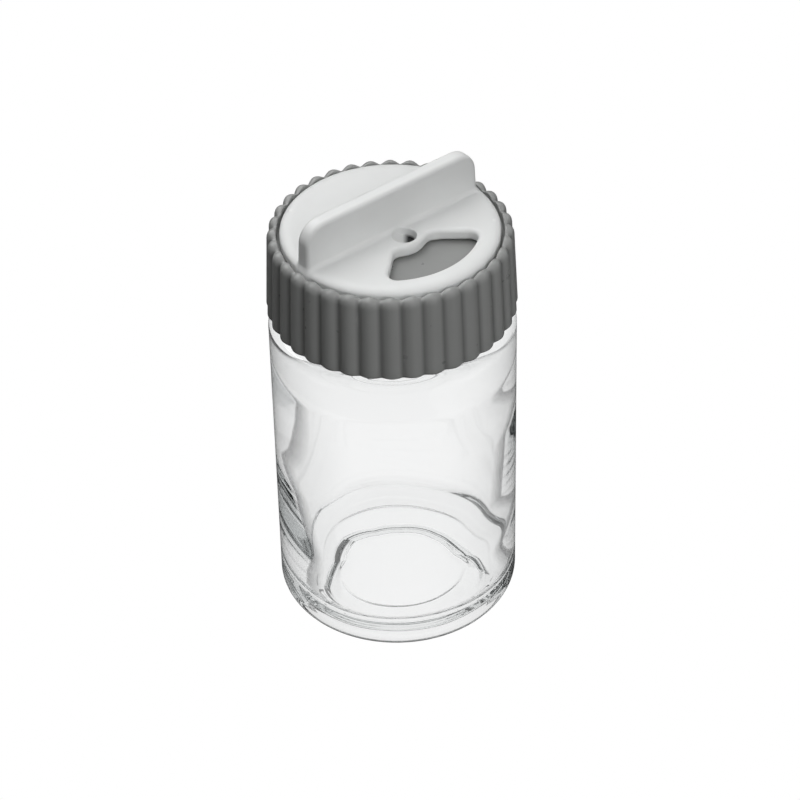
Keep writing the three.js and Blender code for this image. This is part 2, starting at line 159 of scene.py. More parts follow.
# Glass jar
JAR_WALL = 2.6
JAR_HEEL = 4.6
JAR_BEARING = 3.5
JAR_PUSH_UP = 2.4
JAR_PUSH_UP_EDGE = 5.5
JAR_FOOT_SHIFT = 1.5  # from the bearing ring's inner edge out to where the glass lies flat
JAR_FOOT_RISE = 0.3  # of the glass between the push-up and the bearing ring
JAR_BASE = 3.8
JAR_FLOOR_CROWN = 0.5
JAR_FLOOR_EDGE = 4.4
JAR_SHOULDER_STEP = 4.7
JAR_SHOULDER = 3.5
JAR_NECK = 17
JAR_NECK_FILLET = 0.9
JAR_NECK_WALL = 2.7
JAR_THROAT = 14
JAR_RIM = 0.8
JAR_COLUMNS = 320
FRONT_SIDE = CAMERA_TURN + math.radians(270)
THICK_SIDE = FRONT_SIDE - math.radians(90)  # where the blown wall is thickest
THIN_SIDE = FRONT_SIDE + math.radians(90)
SIDE_SPREAD = math.radians(50)
WALL_EXTRA = 0.3  # of the wall between its thick and its thin side
WALL_WAVE = 0.1
# How many waves go round the jar, their lean in radians a millimetre, their start and their share
WALL_WAVES = ((2, 0.06, 0, 1), (3, -0.09, 1, 0.7))
EVEN_FLOOR = 10  # radius within which the floor keeps its thickness
EVEN_FLOOR_FADE = 12
EVEN_NECK_FADE = 8
# Height and thickness of the wall up its thick side and up its thin side
THICK_WALL = np.array([
    (6, 4.2), (20, 4.2), (30, 3.5), (37.8, 3.1), (43.6, 2.9), (48, 3.3), (55, 3.5), (63, 3.5),
    (71, 3.2), (79, 2.5), (84, 2.4),
])
THIN_WALL = np.array([
    (6, 1.9), (15.8, 2.3), (21, 2.1), (25, 1.9), (32.5, 2.8), (45, 2.4), (58.5, 2.0), (64.8, 3.0),
    (72.5, 3.0), (84, 2.6),
])
WALL_BLEND = (-3, -1.5, 0, 1.5, 3)  # heights averaged for an even change of thickness
STIPPLE_COUNT = 24
STIPPLE_HEIGHT = 0.6
# Angle in degrees, and radius, of the ridge that the mould leaves under the base
MOULD_RIDGE = np.array([
    (-177, 21.4), (-146, 21.5), (-100, 21.5), (-68, 21.3), (-51, 20.6), (-31, 16.4), (5, 14),
    (52, 12.6), (82, 13.2), (110, 16.1), (142, 16.8), (168, 21),
])
RIDGE_SHARES = (0.97, 0.83)
RIDGE_HEIGHT = 0.25
RIDGE_WIDTH = 0.7
BASE_WAVE = 0.15  # unevenness of the base's underside
WAVE_ACROSS = 0.2  # radians a millimetre
WAVE_ALONG = 0.25
WAVE_BEND = 0.3

# Thread
THREAD_LEAD = 4.2
THREAD_TURNS = 1.25
THREAD_HEIGHT = 1.2
THREAD_RIM_INSET = 4.5
THREAD_FADE = math.radians(22.5)
THREAD_SINK = 0.3
THREAD_EDGE = 0.25
JAR_THREAD_BASE = 2.6
JAR_THREAD_CREST = 1.1
CAP_THREAD_BASE = 2
CAP_THREAD_CREST = 0.9
CAP_THREAD_DROP = 1.8  # from the jar's ridge down to the cap's

# Liner
LINER_INNER = 22.9
LINER_OUTER = 26.6
LINER_ROUND = 0.2
LINER_COLUMNS = 144

# Screw cap
CAP_BORE = 26.9
CAP_GROOVE = 29.4  # radius of the groove bottoms at the skirt's lower edge
CAP_RIB = 0.8
CAP_RIBS = 36
CAP_RIB_PHASE = math.radians(1.5)
CAP_RIB_STEPS = 16
RIB_SOFT = 0.22
CAP_DRAFT = 0.85
CAP_RECESS_RADIUS = 27
CAP_RECESS = 2
CAP_DECK = 1.9
CAP_RECESS_ROUND = 0.25
RING_RISE = 0.7  # how far the ribs' tops stand above the frame's plain ring
CREST_TOP_EDGE = 0.4  # rounding of a crest's top into the recess
CREST_TOP_FALL = 2.6  # from the ring's top down to where a crest stands straight
GROOVE_TOP_DROP = 0.7  # from the ring's top down to where its grooves leave the recess
GROOVE_TOP_FALL = 3.2  # from the ring's top down to where a groove is as deep as below
CREST_FOOT_ROUND = 1
GROOVE_FOOT_RISE = 0.8
GROOVE_FOOT_IN = 0.6
CAP_BORE_ROUND = 0.6
CAP_HOLE_ROUND = 0.25
HUB_HOLE = 7.6
POUR_INNER = 10.4
POUR_OUTER = 20
POUR_HALF = math.radians(36)
POUR_CORNER = 2
FINE_HOLE = 0.9
FINE_PITCH = 3.2
FINE_ROW = 11.5
FINE_ROWS = (4, 5, 6)
COARSE_HOLE = 1.8
COARSE_PITCH = 5.6
COARSE_ROW = 12.4
COARSE_ROWS = (2, 3)

# Dial
DIAL_RADIUS = 26.2
DIAL_THICKNESS = 3.3
DIAL_PLATE = 1.8
DIAL_EDGE = 1.5
DIAL_EDGE_REACH = 2.8  # how far in from the edge the dial's top begins to round
DIAL_RIM_WALL = 1.6
DIAL_SMALL_ROUND = 0.2
WINDOW_OUTER = 21.2
WINDOW_HALF = math.radians(48.7)
WINDOW_SIDE = 2.2
WINDOW_TURN = math.radians(2.2)
WINDOW_INNER = 7.8
WINDOW_OUTER_CORNER = 2.8
WINDOW_INNER_CORNER = 1.4
WINDOW_WALL = 1.4
WINDOW_EDGE = 1.1
COLLAR_RADIUS = 4
WELL_RADIUS = 2.9
WELL_OFFSET = 5.3
WELL_RAMP_TOP = 0.3
WELL_RAMP_FOOT = 2.7
WELL_RAMP_REACH = 1.1
WELL_TURN = math.radians(-37.8)
WELL_EDGE = 0.25
WELL_CORNER = 0.15
BAR_HEIGHT = 11.3
BAR_FOOT_THICKNESS = 4.4
BAR_TOP_THICKNESS = 3.8
BAR_LEFT = 0.1  # from the dial's edge in to the bar's end at -X, at its foot
BAR_RIGHT = 1.1
BAR_END_DRAFT = 0.5
BAR_CORNER = 5.2
BAR_EDGE = 1.1
BAR_FILLET = 1.2
CORE_WIDTH = 1.5
CORE_END_WALL = 2.2
CORE_ROOF = 2.4
HUB_RADIUS = 7.3
HUB_WALL = 1.3
HUB_SLOT = 1.6
HUB_WEB = 0.5  # thickness of the web that closes the hub below the wells
HUB_WEB_RISE = 0.1
HUB_WEB_ROUND = 0.1
HOOK_RADIUS = 8.6
HOOK_HEIGHT = 1.2
HOOK_WIDTH = 5
HOOK_ROUND = 0.1
DIAL_CELL = 0.32
NET_STEPS = 4  # moves of each point of the dial's net towards the surface
SLOPE_STEP = 0.02

jar_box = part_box("glass_jar")
cap_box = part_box("screw_cap")
liner_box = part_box("sealing_liner")
dial_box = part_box("shaker_dial")
JAR_RADIUS = jar_box[1].x / MM
JAR_HEIGHT = jar_box[1].z / MM
JAR_FOOT_OUTER = JAR_RADIUS - JAR_HEEL
JAR_FOOT_INNER = JAR_FOOT_OUTER - JAR_BEARING
JAR_FOOT_FLAT = JAR_FOOT_INNER + JAR_FOOT_SHIFT
JAR_NECK_RADIUS = JAR_RADIUS - JAR_SHOULDER_STEP
THREAD_START = JAR_HEIGHT - THREAD_RIM_INSET - THREAD_LEAD * THREAD_TURNS
CAP_LOW = cap_box[0].z / MM
CAP_HIGH = cap_box[1].z / MM
DECK_TOP = CAP_HIGH - CAP_RECESS
DECK_LOW = DECK_TOP - CAP_DECK
DIAL_HIGH = dial_box[1].z / MM
DIAL_LOW = DIAL_HIGH - BAR_HEIGHT - DIAL_THICKNESS
HUB_LOW = dial_box[0].z / MM


# Meshes

def piece_of(name, points, faces, material, body, node, normals=None):
    """A smooth piece made from points in millimetres, which stands for a node of the frame."""
    mesh = bpy.data.meshes.new(name)
    mesh.from_pydata((np.asarray(points) * MM).tolist(), [], [list(f) for f in faces])
    mesh.shade_smooth()
    if normals is not None:
        mesh.normals_split_custom_set_from_vertices(normals.tolist())
    mesh.materials.append(material)
    piece = bpy.data.objects.new(name, mesh)
    bpy.context.scene.collection.objects.link(piece)
    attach(piece, body)
    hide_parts(node)
    return piece


def line(start, end, steps):
    """Points from start up to, and without, end."""
    share = np.arange(steps)[:, None] / steps
    return np.asarray(start) * (1 - share) + np.asarray(end) * share


def arc(centre, radius, start, end, steps):
    """Points round centre from one angle in degrees up to, and without, another."""
    angle = np.radians(start + (end - start) * np.arange(steps) / steps)
    return np.asarray(centre) + radius * np.stack([np.cos(angle), np.sin(angle)], 1)


def bend(start, control, end, steps):
    """Points of a quadratic curve, without its end."""
    share = np.arange(steps)[:, None] / steps
    start, control, end = (np.asarray(p) for p in (start, control, end))
    return start * (1 - share) ** 2 + 2 * control * share * (1 - share) + end * share**2


def ring_faces(rows, columns, closed):
    """Quads between rows of a grid that goes round. A closed grid's last row meets its first."""
    faces = []
    for row in range(rows if closed else rows - 1):
        low = row * columns
        high = ((row + 1) % rows) * columns
        for i in range(columns):
            j = (i + 1) % columns
            faces.append((low + i, low + j, high + j, high + i))
    return faces


def helix_relief(angle, height, start, base, crest):
    """How far a wound ridge stands out of its wall, for each angle and height."""
    climb = THREAD_LEAD / TURN
    turn = np.round((height - start - climb * angle) / THREAD_LEAD)
    along = angle + TURN * turn
    off = np.abs(height - start - climb * along)
    total = TURN * THREAD_TURNS
    fade = np.clip(np.minimum(along, total - along) / THREAD_FADE, -0.5, 1)
    flank = (base / 2 - off) * THREAD_HEIGHT / ((base - crest) / 2)
    top = fade * (THREAD_HEIGHT + THREAD_SINK) - THREAD_SINK
    lowest = (flank + top - np.sqrt((flank - top) ** 2 + THREAD_EDGE**2)) / 2
    return (lowest + np.sqrt(lowest**2 + (THREAD_EDGE / 4) ** 2)) / 2


def smooth(value):
    """From 0 to 1 with soft ends."""
    value = np.clip(value, 0, 1)
    return value**2 * (3 - 2 * value)


def plateau(value, low, high):
    """One between two values and nought well outside them, with a soft slope of a tenth."""
    slope = (high - low) / 10
    return smooth((value - low) / slope + 0.5) * smooth((high - value) / slope + 0.5)


# Jar

def jar_profile():
    """Radius and height along the jar's section: from under the base up to the rim, then down."""
    outer, inner = JAR_FOOT_OUTER, JAR_FOOT_INNER
    top = JAR_HEIGHT - JAR_NECK
    shoulder = top - JAR_NECK_FILLET
    neck = JAR_NECK_RADIUS
    bore = neck - JAR_NECK_WALL
    wall = JAR_RADIUS - JAR_WALL
    floor = JAR_PUSH_UP + JAR_BASE
    crown = floor + JAR_FLOOR_CROWN
    outside = np.concatenate([
        line((0, 0), (outer, 0), 84),
        arc((outer, JAR_HEEL), JAR_HEEL, -90, 0, 14),
        line((JAR_RADIUS, JAR_HEEL), (JAR_RADIUS, shoulder - JAR_SHOULDER), 6),
        arc((JAR_RADIUS - JAR_SHOULDER, shoulder - JAR_SHOULDER), JAR_SHOULDER, 0, 90, 12),
        arc((neck + JAR_NECK_FILLET, top), JAR_NECK_FILLET, -90, -180, 5),
        line((neck, top), (neck, JAR_HEIGHT - JAR_RIM), 48),
        arc((neck - JAR_RIM, JAR_HEIGHT - JAR_RIM), JAR_RIM, 0, 90, 5),
    ])
    down = np.arange(16) / 16
    inside = np.concatenate([
        arc((bore + JAR_RIM, JAR_HEIGHT - JAR_RIM), JAR_RIM, 90, 180, 5),
        line((bore, JAR_HEIGHT - JAR_RIM), (bore, shoulder), 4),
        np.stack([bore + (wall - bore) * smooth(down), shoulder - JAR_THROAT * down], 1),
        line((wall, shoulder - JAR_THROAT), (wall, floor + JAR_FLOOR_EDGE), 76),
        arc((wall - JAR_FLOOR_EDGE, floor + JAR_FLOOR_EDGE), JAR_FLOOR_EDGE, 0, -90, 14),
        bend((wall - JAR_FLOOR_EDGE, floor), (inner - JAR_FLOOR_EDGE, crown), (0, crown), 20),
    ])
    return outside, inside


def towards(angle, side):
    """One at a side of the jar and fading to nought away from it."""
    off = np.abs((angle - side + math.pi) % TURN - math.pi)
    return np.exp(-((off / SIDE_SPREAD) ** 4))


def uneven(angle, height):
    """How much thicker than the nominal wall the blown wall is, round the jar and up it."""
    slow = sum(
        share * np.sin(count * angle + lean * height + start)
        for count, lean, start, share in WALL_WAVES
    )
    extra = WALL_EXTRA + WALL_WAVE * slow
    for side, wall in ((THICK_SIDE, THICK_WALL), (THIN_SIDE, THIN_WALL)):
        near = [np.interp(height + step, wall[:, 0], wall[:, 1]) for step in WALL_BLEND]
        there = sum(near) / len(near) - JAR_WALL
        share = towards(angle, side)
        extra = extra * (1 - share) + there * share
    return extra


def neck_thread(angle, radius, height):
    """How far the thread stands out of the neck's outside."""
    on_neck = (height > JAR_HEIGHT - JAR_NECK) & np.isclose(radius, JAR_NECK_RADIUS)
    relief = helix_relief(angle, height, THREAD_START, JAR_THREAD_BASE, JAR_THREAD_CREST)
    return np.where(on_neck, relief, 0)


def stipple(angle, radius):
    """How far the bearing ring is dented up between the dots of its stipple, at the front."""
    ring = plateau(radius, JAR_FOOT_FLAT, JAR_FOOT_OUTER)
    front = smooth(2 * np.cos(angle - FRONT_SIDE))
    dot = np.clip(np.cos(STIPPLE_COUNT * angle), 0, 1) ** 2
    return ring * front * STIPPLE_HEIGHT * (1 - dot)


def push_up(angle, radius):
    """How high the base's underside stands: the push-up, its ridges and its faint wave."""
    inset = smooth((JAR_FOOT_FLAT - radius) / JAR_FOOT_SHIFT)
    ridge = np.interp(np.degrees(angle), *MOULD_RIDGE.T, period=360)
    fall = smooth((radius - ridge) / JAR_PUSH_UP_EDGE + 0.5)
    rise = JAR_PUSH_UP * (1 - fall) + JAR_FOOT_RISE * fall
    for share in RIDGE_SHARES:
        rise = rise + RIDGE_HEIGHT * np.exp(-(((radius - ridge * share) / RIDGE_WIDTH) ** 2))
    across, along = radius * np.cos(angle), radius * np.sin(angle)
    wave = np.sin(WAVE_ACROSS * across + WAVE_BEND * np.sin(WAVE_BEND * along))
    wave = wave * np.sin(WAVE_ALONG * along + 1)
    return inset * (rise + BASE_WAVE * wave * (1 - fall))


def glass_jar(material):
    outer_path, inner_path = jar_profile()
    profile = np.concatenate([outer_path, inner_path])[1:]
    angle = np.repeat(TURN * np.arange(JAR_COLUMNS)[None] / JAR_COLUMNS, len(profile), 0)
    radius = np.repeat(profile[:, :1], JAR_COLUMNS, 1)
    height = np.repeat(profile[:, 1:], JAR_COLUMNS, 1)
    outside = np.arange(1, len(profile) + 1)[:, None] < len(outer_path)
    under = outside & (height == 0)

    even = smooth((radius - EVEN_FLOOR) / EVEN_FLOOR_FADE)
    even = even * smooth((JAR_HEIGHT - JAR_NECK - height) / EVEN_NECK_FADE)
    thread = np.where(outside, neck_thread(angle, radius, height), 0)
    radius = radius + thread - np.where(outside, 0, even * uneven(angle, height))
    relief = stipple(angle, radius) + push_up(angle, radius)
    height = height + np.where(under, relief, 0)

    points = np.stack([radius * np.cos(angle), radius * np.sin(angle), height], 2).reshape(-1, 3)
    faces = ring_faces(len(radius), JAR_COLUMNS, False)
    last = (len(radius) - 1) * JAR_COLUMNS
    for i in range(JAR_COLUMNS):
        j = (i + 1) % JAR_COLUMNS
        faces.append((len(points), j, i))
        faces.append((len(points) + 1, last + i, last + j))
    middles = [(0, 0, JAR_PUSH_UP), (0, 0, JAR_PUSH_UP + JAR_BASE + JAR_FLOOR_CROWN)]
    points = np.concatenate([points, middles])
    return piece_of("clear_jar", points, faces, material, "jar_body", "glass_jar")


# Liner

def sealing_liner(material):
    low, high = (corner.z / MM for corner in liner_box)
    edge = LINER_ROUND
    profile = np.concatenate([
        arc((LINER_OUTER - edge, low + edge), edge, -90, 0, 3),
        arc((LINER_OUTER - edge, high - edge), edge, 0, 90, 3),
        arc((LINER_INNER + edge, high - edge), edge, 90, 180, 3),
        arc((LINER_INNER + edge, low + edge), edge, 180, 270, 3),
    ])
    columns = LINER_COLUMNS
    angle = TURN * np.arange(columns) / columns
    radius, height = profile[:, :1], np.repeat(profile[:, 1:], columns, 1)
    points = np.stack([radius * np.cos(angle), radius * np.sin(angle), height], 2).reshape(-1, 3)
    faces = ring_faces(len(profile), columns, True)
    return piece_of(
        "foam_liner", points, faces, material, "liner_body", "sealing_liner"
    )


# Cap

def rib_share(across):
    """From 0 in a groove to 1 on a crest, for places from -1 to 1 across a rib."""
    arch = np.sqrt(np.cos(across * math.pi / 2) ** 2 + RIB_SOFT**2)
    return (arch - RIB_SOFT) / (math.hypot(1, RIB_SOFT) - RIB_SOFT)


def cap_inside():
    """Radius and height of the cap's inside, from the skirt's lower edge up to the deck."""
    edge = CAP_BORE_ROUND
    return np.concatenate([
        arc((CAP_BORE + edge, CAP_LOW + edge), edge, -90, -180, 5),
        line((CAP_BORE, CAP_LOW + edge), (CAP_BORE, DECK_LOW - edge), 60),
        arc((CAP_BORE - edge, DECK_LOW - edge), edge, 0, 90, 5),
        [(CAP_BORE - edge, DECK_LOW)],
    ])


def cap_rows():
    """Radius and height on a crest, then in a groove, of each ring of the cap, deck outward."""
    groove_low, groove_high = CAP_GROOVE, CAP_GROOVE - CAP_DRAFT
    crest_low, crest_high = groove_low + CAP_RIB, groove_high + CAP_RIB
    recess, edge = CAP_RECESS_RADIUS, CAP_RECESS_ROUND
    top = CAP_HIGH + RING_RISE
    low_top, round_top = top - GROOVE_TOP_DROP, top - CREST_TOP_EDGE
    recess_foot = arc((recess - edge, DECK_TOP + edge), edge, -90, 0, 4)
    wall_foot = recess, DECK_TOP + edge
    crest_end = crest_high, top - CREST_TOP_FALL
    crest_top = np.concatenate([
        line(wall_foot, (recess, round_top), 5),
        bend((recess, round_top), (recess, top), (recess + CREST_TOP_EDGE, top), 5),
        bend((recess + CREST_TOP_EDGE, top), (crest_high, top), crest_end, 17),
    ])
    groove_end = groove_high, top - GROOVE_TOP_FALL
    groove_top = np.concatenate([
        line(wall_foot, (recess, low_top - CREST_TOP_EDGE), 5),
        bend((recess, low_top - CREST_TOP_EDGE), (recess, low_top),
             (recess + CREST_TOP_EDGE, low_top - CREST_TOP_EDGE / 2), 5),
        bend((recess + CREST_TOP_EDGE, low_top - CREST_TOP_EDGE / 2),
             (groove_high, low_top - CREST_TOP_EDGE), groove_end, 17),
    ])
    share = np.linspace(0, 1, 14)[:, None]
    crest_wall = (1 - share) * crest_end + share * (crest_low, CAP_LOW + CREST_FOOT_ROUND)
    groove_wall = (1 - share) * groove_end + share * (groove_low, CAP_LOW + GROOVE_FOOT_RISE)
    crest_foot = bend(crest_wall[-1], (crest_low, CAP_LOW),
                      (crest_low - CREST_FOOT_ROUND, CAP_LOW), 9)[1:]
    groove_foot = bend(groove_wall[-1], (groove_low, CAP_LOW),
                       (groove_low - GROOVE_FOOT_IN, CAP_LOW), 9)[1:]
    crest = np.concatenate([recess_foot, crest_top, crest_wall, crest_foot, cap_inside()])
    groove = np.concatenate([recess_foot, groove_top, groove_wall, groove_foot, cap_inside()])
    return np.concatenate([crest, groove], 1)


def circle_loop(x, y, radius, count):
    """Outline of a round hole, and the way out of it at each point."""
    angle = TURN * np.arange(count) / count
    outward = np.stack([np.cos(angle), np.sin(angle)], 1)
    return np.array([x, y]) + radius * outward, outward


def pour_loop():
    """Outline of the pour opening, a ring sector round +Y with rounded corners, and its way out."""
    turn = POUR_CORNER
    half = POUR_HALF

    def at(radius, angle):
        return np.array([radius * math.sin(angle), radius * math.cos(angle)])

    outer_half, inner_half = half - turn / POUR_OUTER, half - turn / POUR_INNER
    outer = [at(POUR_OUTER, a) for a in np.linspace(outer_half, -outer_half, 30)]
    left = bend(outer[-1], at(POUR_OUTER, -half), at(POUR_OUTER - turn, -half), 8)[1:]
    foot = at(POUR_INNER, -inner_half)
    low_left = bend(at(POUR_INNER + turn, -half), at(POUR_INNER, -half), foot, 8)
    inner = [at(POUR_INNER, a) for a in np.linspace(-inner_half, inner_half, 16)]
    low_right = bend(inner[-1], at(POUR_INNER, half), at(POUR_INNER + turn, half), 8)[1:]
    right = bend(at(POUR_OUTER - turn, half), at(POUR_OUTER, half), outer[0], 8)
    loop = np.concatenate([outer, left, low_left, inner, low_right, right])
    ahead = np.roll(loop, -1, 0) - np.roll(loop, 1, 0)
    outward = np.stack([ahead[:, 1], -ahead[:, 0]], 1)
    return loop, outward / np.linalg.norm(outward, axis=1)[:, None]


def hole_loops():
    """Outlines of the hub's hole, the pour opening and the rows of holes, with their ways out."""
    loops = [circle_loop(0, 0, HUB_HOLE, 96), pour_loop()]
    for hole, pitch, first, rows, facing, count in (
        (FINE_HOLE, FINE_PITCH, FINE_ROW, FINE_ROWS, 0, 24),
        (COARSE_HOLE, COARSE_PITCH, COARSE_ROW, COARSE_ROWS, math.pi, 32),
    ):
        for row, number in enumerate(rows):
            radius = first + row * pitch
            for i in range(number):
                angle = facing + pitch / radius * (i - (number - 1) / 2)
                middle = radius * math.cos(angle), radius * math.sin(angle)
                loops.append(circle_loop(*middle, hole, count))
    return loops


def filled(points, loops, upward):
    """Triangles of a flat face between an outer loop and the holes in it, by point number.

    Every loop runs anticlockwise, so three points of a hole turn left where they fill it.
    """
    numbers = [n for loop in loops for n in loop]
    home = [which for which, loop in enumerate(loops) for n in loop]
    flat = [Vector(points[n][:2]) for n in numbers]
    edges, first = [], 0
    for loop in loops:
        count = len(loop)
        edges += [(first + i, first + (i + 1) % count) for i in range(count)]
        first += count
    made = delaunay_2d_cdt(flat, edges, [], 0, 1e-6)
    faces = []
    for triangle in made[2]:
        a, b, c = sorted(made[3][i][0] for i in triangle)
        turns_left = (flat[b] - flat[a]).cross(flat[c] - flat[a]) > 0
        fills_hole = home[a] == home[c] > 0 and turns_left
        face = [numbers[i] for i in (a, b, c)]
        if not fills_hole:
            faces.append(face if turns_left == upward else face[::-1])
    return faces


def cap_shell():
    """Points of the cap's ribbed skirt, ring after ring from the deck outward and back under it."""
    steps = CAP_RIB_STEPS
    across = np.sin(math.pi / 2 * (2 * (np.arange(steps) + 0.5) / steps - 1))
    one = CAP_RIB_PHASE + across * math.pi / CAP_RIBS
    angle = np.concatenate([one + TURN * rib / CAP_RIBS for rib in range(CAP_RIBS)])
    share = np.tile(rib_share(across), CAP_RIBS)
    rows = cap_rows()
    radius = rows[:, 2:3] + (rows[:, :1] - rows[:, 2:3]) * share
    height = rows[:, 3:] + (rows[:, 1:2] - rows[:, 3:]) * share
    start = THREAD_START - CAP_THREAD_DROP
    relief = helix_relief(angle % TURN, height, start, CAP_THREAD_BASE, CAP_THREAD_CREST)
    radius = radius - np.where(np.isclose(radius, CAP_BORE), relief, 0)
    return np.stack([radius * np.cos(angle), radius * np.sin(angle), height], 2)


def hole_side():
    """How far out of its outline, and how high, a hole's wall lies, from the deck's top down."""
    edge = CAP_HOLE_ROUND
    return np.concatenate([
        arc((edge, DECK_TOP - edge), edge, 90, 180, 4),
        line((0, DECK_TOP - edge), (0, DECK_LOW + edge), 2),
        arc((edge, DECK_LOW + edge), edge, 180, 270, 4),
        [(edge, DECK_LOW)],
    ])


def screw_cap(material):
    shell = cap_shell()
    rows, columns = shell.shape[:2]
    points = list(shell.reshape(-1, 3))
    faces = [face[::-1] for face in ring_faces(rows, columns, False)]
    top = [list(range(columns))]
    low = [list(range(columns * (rows - 1), columns * rows))]
    side = hole_side()
    for loop, outward in hole_loops():
        first, count = len(points), len(loop)
        for reach, z in side:
            points += [(*xy, z) for xy in loop + outward * reach]
        wall = ring_faces(len(side), count, False)
        faces += [tuple(first + n for n in face) for face in wall]
        top.append(list(range(first, first + count)))
        low.append(list(range(len(points) - count, len(points))))
    points = np.array(points)
    faces += filled(points, top, True) + filled(points, low, False)
    return piece_of(
        "ribbed_cap", points, faces, material, "cap_body", "screw_cap"
    )


# Dial, as distances: negative in the plastic, positive outside

def both(a, b, edge):
    """Where a and b overlap, with the edge between them rounded."""
    rounded = np.hypot(np.maximum(a + edge, 0), np.maximum(b + edge, 0))
    return np.minimum(-edge, np.maximum(a, b)) + rounded


def joined(a, b, fillet):
    """a and b together, with a fillet in the corner between them."""
    return -both(-a, -b, fillet)


def window_distance(x, y):
    """The window: a sector whose inner side is straight, but for the collar round the well."""
    across = np.abs(x * math.cos(WINDOW_TURN) + y * math.sin(WINDOW_TURN))
    along = y * math.cos(WINDOW_TURN) - x * math.sin(WINDOW_TURN)
    outer = np.hypot(x, y) - WINDOW_OUTER
    side = across * math.cos(WINDOW_HALF) + along * math.sin(WINDOW_HALF) + WINDOW_SIDE
    collar = COLLAR_RADIUS - np.hypot(x, y + WELL_OFFSET)
    inner = both(y + WINDOW_INNER, collar, WINDOW_OUTER_CORNER)
    return both(both(outer, side, WINDOW_OUTER_CORNER), inner, WINDOW_INNER_CORNER)


def well_distance(x, y, z, side):
    """The well before the bar, or with side -1 the one behind it."""
    x, y = side * x, side * y + WELL_OFFSET
    down = x * math.cos(WELL_TURN) + y * math.sin(WELL_TURN)
    fall = (WELL_RAMP_FOOT - WELL_RAMP_TOP) / (WELL_RADIUS + WELL_RAMP_REACH)
    ramp = DIAL_THICKNESS - WELL_RAMP_TOP - fall * (down + WELL_RADIUS)
    above = (ramp - z) / math.hypot(1, fall)
    foot = np.minimum(above, WELL_RAMP_REACH - down)
    return both(np.hypot(x, y) - WELL_RADIUS, foot, WELL_CORNER)


def bar_span():
    """The middle of the bar along the dial, and its half length, at its foot."""
    return (BAR_LEFT - BAR_RIGHT) / 2, DIAL_RADIUS - (BAR_LEFT + BAR_RIGHT) / 2


def bar_distance(x, y, z):
    """The finger bar, which narrows towards its top."""
    rise = z - DIAL_THICKNESS
    middle, reach = bar_span()
    reach = reach - BAR_END_DRAFT * rise / BAR_HEIGHT
    narrowing = (BAR_FOOT_THICKNESS - BAR_TOP_THICKNESS) * rise / BAR_HEIGHT
    outline = both(np.abs(x - middle) - reach, rise - BAR_HEIGHT, BAR_CORNER)
    bar = both(outline, np.abs(y) - (BAR_FOOT_THICKNESS - narrowing) / 2, BAR_EDGE)
    return np.maximum(bar, DIAL_PLATE / 2 - z)


def hub_distance(x, y, z):
    """The hub: four legs with slots between them, two of which end in snap hooks."""
    low = HUB_LOW - DIAL_LOW
    radius = np.hypot(x, y)
    ring = both(radius - HUB_RADIUS, HUB_RADIUS - HUB_WALL - radius, DIAL_SMALL_ROUND)
    taper = np.clip((z - low) / HOOK_HEIGHT * 2, 0, 1)
    reach = HUB_RADIUS + (HOOK_RADIUS - HUB_RADIUS) * taper
    hook = both(radius - reach, z - low - HOOK_HEIGHT, HOOK_ROUND)
    hook = np.maximum(hook, HUB_RADIUS - HUB_WALL / 2 - radius)
    hook = both(hook, np.abs(x) - HOOK_WIDTH / 2, DIAL_SMALL_ROUND)
    slots = [np.abs(x + turn * y) / math.sqrt(2) - HUB_SLOT / 2 for turn in (1, -1)]
    cut = np.maximum(np.minimum(*slots), z)
    legs = both(np.minimum(ring, hook), -cut, DIAL_SMALL_ROUND)
    return both(legs, np.maximum(low - z, z - DIAL_PLATE), DIAL_SMALL_ROUND)


def core_distance(x, y, z):
    """The hollow inside the bar, open below."""
    middle, reach = bar_span()
    reach = reach - BAR_END_DRAFT - CORE_END_WALL
    core = both(np.abs(x - middle) - reach, np.abs(y) - CORE_WIDTH / 2, DIAL_SMALL_ROUND)
    return both(core, z - DIAL_THICKNESS - BAR_HEIGHT + CORE_ROOF, DIAL_SMALL_ROUND)


def plate_distance(x, y, z, window):
    """The dial's disc, hollow below between its rim, its hub and the window's wall."""
    radius = np.hypot(x, y)
    beyond = (radius - DIAL_RADIUS) * DIAL_EDGE / DIAL_EDGE_REACH
    plate = both(both(beyond, z - DIAL_THICKNESS, DIAL_EDGE), -z, DIAL_SMALL_ROUND)
    ring = both(radius - DIAL_RADIUS + DIAL_RIM_WALL, HUB_RADIUS - radius, DIAL_SMALL_ROUND)
    ring = both(ring, WINDOW_WALL - window, DIAL_SMALL_ROUND)
    hollow = both(ring, z - DIAL_THICKNESS + DIAL_PLATE, DIAL_SMALL_ROUND)
    return both(plate, -hollow, DIAL_SMALL_ROUND)


def web_distance(x, y, z):
    """The web that closes the hub below the wells."""
    thick = np.abs(z - HUB_WEB_RISE - HUB_WEB / 2) - HUB_WEB / 2
    return both(np.hypot(x, y) - HUB_RADIUS + HUB_WALL / 2, thick, HUB_WEB_ROUND)


def dial_distance(x, y, z):
    """Distance from the dial's surface. Height is taken from the dial's underside."""
    window = window_distance(x, y)
    dial = plate_distance(x, y, z, window)
    dial = joined(dial, hub_distance(x, y, z), DIAL_SMALL_ROUND)
    dial = joined(dial, bar_distance(x, y, z), BAR_FILLET)
    dial = both(dial, -core_distance(x, y, z), DIAL_SMALL_ROUND)
    dial = both(dial, -window, WINDOW_EDGE)
    for side in (1, -1):
        dial = both(dial, -well_distance(x, y, z, side), WELL_EDGE)
    return np.minimum(dial, web_distance(x, y, z))


def slope_at(distance, points):
    """The distance at each point, and its slope along X, Y and Z."""
    here = distance(*points.T)
    steps = [distance(*(points + SLOPE_STEP * np.eye(3)[i]).T) - here for i in range(3)]
    return here, np.stack(steps, 1) / SLOPE_STEP


